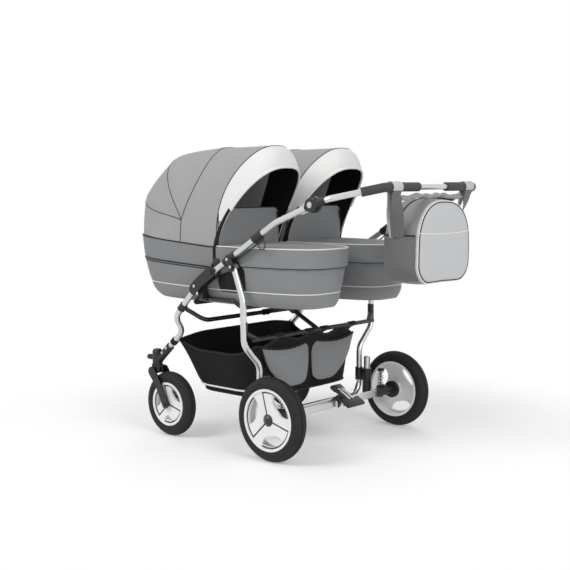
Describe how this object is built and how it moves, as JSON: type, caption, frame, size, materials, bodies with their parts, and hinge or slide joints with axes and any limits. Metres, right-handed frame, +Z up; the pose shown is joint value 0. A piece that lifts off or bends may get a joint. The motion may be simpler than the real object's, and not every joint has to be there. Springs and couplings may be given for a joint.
{
  "type": "twin pram",
  "caption": "Side by side twin pram: hooded carrycots on a folding tube chassis with swivel front wheels, sprung rear axle, basket and bag.",
  "frame": {"origin": "on the ground under the middle of the pram's box", "axes": "+X to the pram's left, -Y to the front, +Z up"},
  "size_m": [0.782, 1.2094, 1.071],
  "materials": {
    "alu": "satin anodised",
    "steel": "bright zinc",
    "black_paint": "satin powder coat",
    "black_plastic": "fine moulded grain",
    "grip": "soft foam leather look",
    "tyre": "matt rubber",
    "white_rim": "gloss",
    "hood_cloth": "woven melange",
    "body_cloth": "woven melange",
    "black_cloth": "woven nylon",
    "bedding": "cotton"
  },
  "bodies": {
    "chassis": {"front_leg_left": "alu", "front_leg_right": "alu", "hinge_bracket_left": "black_plastic", "hinge_bracket_right": "black_plastic", "front_cross_tube": "black_paint", "cot_cradle": "black_paint", "basket": "black_cloth", "caster_housing_left": "black_plastic", "caster_housing_right": "black_plastic"},
    "push_frame": {"side_rail_left": "alu", "side_rail_right": "alu", "leg_bracket_left": "black_plastic", "leg_bracket_right": "black_plastic"},
    "handle": {"handle_bar": "alu", "handle_knuckle_left": "black_plastic", "handle_knuckle_right": "black_plastic", "grip_left": "grip", "grip_right": "grip"},
    "bag": {"bag": "body_cloth"},
    "rear_frame": {"rear_legs": "alu", "rear_cross_tube": "black_paint", "suspension_left": "black_plastic", "suspension_right": "black_plastic", "spring_left": "steel", "spring_right": "steel"},
    "centre_link": {"centre_link": "black_paint"},
    "axle": {"axle_beam": "alu", "axle_sleeves": "black_plastic"},
    "brake_pedal": {"brake_pedal": "black_plastic"},
    "swivel_lock_left": {"swivel_lock_left": "black_plastic"},
    "fork_left": {"fork_left": "black_plastic"},
    "front_wheel_left": {"front_tyre_left": "tyre", "front_rim_left": "white_rim"},
    "fold_lock_left": {"fold_lock_left": "black_plastic"},
    "handle_button_left": {"handle_button_left": "steel"},
    "brake_pin_left": {"brake_pin_left": "steel"},
    "rear_wheel_left": {"rear_tyre_left": "tyre", "rear_rim_left": "white_rim"},
    "carrycot_left": {"tub_left": "body_cloth", "bedding_left": "bedding", "apron_left": "body_cloth", "hood_rear_left": "hood_cloth"},
    "flap_left": {"flap_left": "body_cloth"},
    "hood_left": {"hood_front_left": "hood_cloth"},
    "swivel_lock_right": {"swivel_lock_right": "black_plastic"},
    "fork_right": {"fork_right": "black_plastic"},
    "front_wheel_right": {"front_tyre_right": "tyre", "front_rim_right": "white_rim"},
    "fold_lock_right": {"fold_lock_right": "black_plastic"},
    "handle_button_right": {"handle_button_right": "steel"},
    "brake_pin_right": {"brake_pin_right": "steel"},
    "rear_wheel_right": {"rear_tyre_right": "tyre", "rear_rim_right": "white_rim"},
    "carrycot_right": {"tub_right": "body_cloth", "bedding_right": "bedding", "apron_right": "body_cloth", "hood_rear_right": "hood_cloth"},
    "flap_right": {"flap_right": "body_cloth"},
    "hood_right": {"hood_front_right": "hood_cloth"}
  },
  "joints": [
    {"name": "frame_fold", "type": "hinge", "parent": "chassis", "child": "push_frame", "pos_m": [0, -0.11072, 0.63], "axis": [1, 0, 0], "range_deg": [0, 80], "deforming": ["basket"]},
    {"name": "rear_frame_hinge", "type": "hinge", "parent": "push_frame", "child": "rear_frame", "pos_m": [0, -0.01072, 0.653], "axis": [1, 0, 0], "range_deg": [-80, 0]},
    {"name": "centre_link_hinge", "type": "hinge", "parent": "chassis", "child": "centre_link", "pos_m": [0, -0.17872, 0.455], "axis": [1, 0, 0], "range_deg": [0, 80]},
    {"name": "rear_suspension", "type": "slide", "parent": "rear_frame", "child": "axle", "axis": [0, 0, 1], "range_m": [0, 0.02], "stiffness_N_per_m": 14000, "springref_m": -0.016, "deforming": ["spring_left", "spring_right"]},
    {"name": "brake_pedal_tilt", "type": "hinge", "parent": "axle", "child": "brake_pedal", "pos_m": [0, 0.16128, 0.145], "axis": [1, 0, 0], "range_deg": [-18, 0]},
    {"name": "handle_tilt", "type": "hinge", "parent": "push_frame", "child": "handle", "pos_m": [0, 0.34221, 0.87081], "axis": [1, 0, 0], "range_deg": [-20, 40]},
    {"name": "bag_swing", "type": "hinge", "parent": "handle", "child": "bag", "pos_m": [0, 0.55152, 0.92807], "axis": [1, 0, 0], "range_deg": [-8, 20]},
    {"name": "swivel_lock_left_pull", "type": "slide", "parent": "chassis", "child": "swivel_lock_left", "axis": [0, -1, 0], "range_m": [0, 0.008]},
    {"name": "fork_left_swivel", "type": "hinge", "parent": "chassis", "child": "fork_left", "pos_m": [0.328, -0.44872, 0.0003], "axis": [0, 0, 1], "continuous": true},
    {"name": "front_wheel_left_spin", "type": "hinge", "parent": "fork_left", "child": "front_wheel_left", "pos_m": [0.328, -0.37272, 0.12], "axis": [1, 0, 0], "continuous": true},
    {"name": "fold_lock_left_pull", "type": "slide", "parent": "push_frame", "child": "fold_lock_left", "axis": [0, 0.8517, 0.524], "range_m": [0, 0.015], "stiffness_N_per_m": 400},
    {"name": "handle_button_left_press", "type": "slide", "parent": "handle", "child": "handle_button_left", "axis": [-1, 0, 0], "range_m": [0, 0.004], "stiffness_N_per_m": 800},
    {"name": "rear_wheel_left_spin", "type": "hinge", "parent": "axle", "child": "rear_wheel_left", "pos_m": [0.361, 0.16128, 0.145], "axis": [1, 0, 0], "continuous": true},
    {"name": "brake_pin_left_slide", "type": "slide", "parent": "axle", "child": "brake_pin_left", "axis": [1, 0, 0], "range_m": [-0.0001, 0.0081]},
    {"name": "carrycot_left_lift", "type": "slide", "parent": "chassis", "child": "carrycot_left", "axis": [0, 0, -1], "range_m": [-0.5, 0]},
    {"name": "flap_left_fold", "type": "hinge", "parent": "carrycot_left", "child": "flap_left", "pos_m": [0.185, -0.10692, 0.7224], "axis": [1, 0, 0], "range_deg": [-75, 0]},
    {"name": "hood_left_fold", "type": "hinge", "parent": "carrycot_left", "child": "hood_left", "pos_m": [0.185, -0.30372, 0.73], "axis": [1, 0, 0], "range_deg": [0, 50], "deforming": ["hood_rear_left"]},
    {"name": "swivel_lock_right_pull", "type": "slide", "parent": "chassis", "child": "swivel_lock_right", "axis": [0, -1, 0], "range_m": [0, 0.008]},
    {"name": "fork_right_swivel", "type": "hinge", "parent": "chassis", "child": "fork_right", "pos_m": [-0.328, -0.44872, 0.0003], "axis": [0, 0, 1], "continuous": true},
    {"name": "front_wheel_right_spin", "type": "hinge", "parent": "fork_right", "child": "front_wheel_right", "pos_m": [-0.328, -0.37272, 0.12], "axis": [1, 0, 0], "continuous": true},
    {"name": "fold_lock_right_pull", "type": "slide", "parent": "push_frame", "child": "fold_lock_right", "axis": [0, 0.8517, 0.524], "range_m": [0, 0.015], "stiffness_N_per_m": 400},
    {"name": "handle_button_right_press", "type": "slide", "parent": "handle", "child": "handle_button_right", "axis": [1, 0, 0], "range_m": [0, 0.004], "stiffness_N_per_m": 800},
    {"name": "rear_wheel_right_spin", "type": "hinge", "parent": "axle", "child": "rear_wheel_right", "pos_m": [-0.361, 0.16128, 0.145], "axis": [1, 0, 0], "continuous": true},
    {"name": "brake_pin_right_slide", "type": "slide", "parent": "axle", "child": "brake_pin_right", "axis": [-1, 0, 0], "range_m": [-0.0001, 0.0081]},
    {"name": "carrycot_right_lift", "type": "slide", "parent": "chassis", "child": "carrycot_right", "axis": [0, 0, -1], "range_m": [-0.5, 0]},
    {"name": "flap_right_fold", "type": "hinge", "parent": "carrycot_right", "child": "flap_right", "pos_m": [-0.185, -0.10692, 0.7224], "axis": [1, 0, 0], "range_deg": [-75, 0]},
    {"name": "hood_right_fold", "type": "hinge", "parent": "carrycot_right", "child": "hood_right", "pos_m": [-0.185, -0.30372, 0.73], "axis": [1, 0, 0], "range_deg": [0, 50], "deforming": ["hood_rear_right"]}
  ],
  "couplings": [
    {"joint": "rear_frame_hinge", "follows": "frame_fold", "ratio": -1},
    {"joint": "centre_link_hinge", "follows": "frame_fold", "ratio": 1},
    {"joint": "brake_pin_left_slide", "follows": "brake_pedal_tilt", "m_per_rad": -0.025465},
    {"joint": "brake_pin_right_slide", "follows": "brake_pedal_tilt", "m_per_rad": -0.025465}
  ]
}
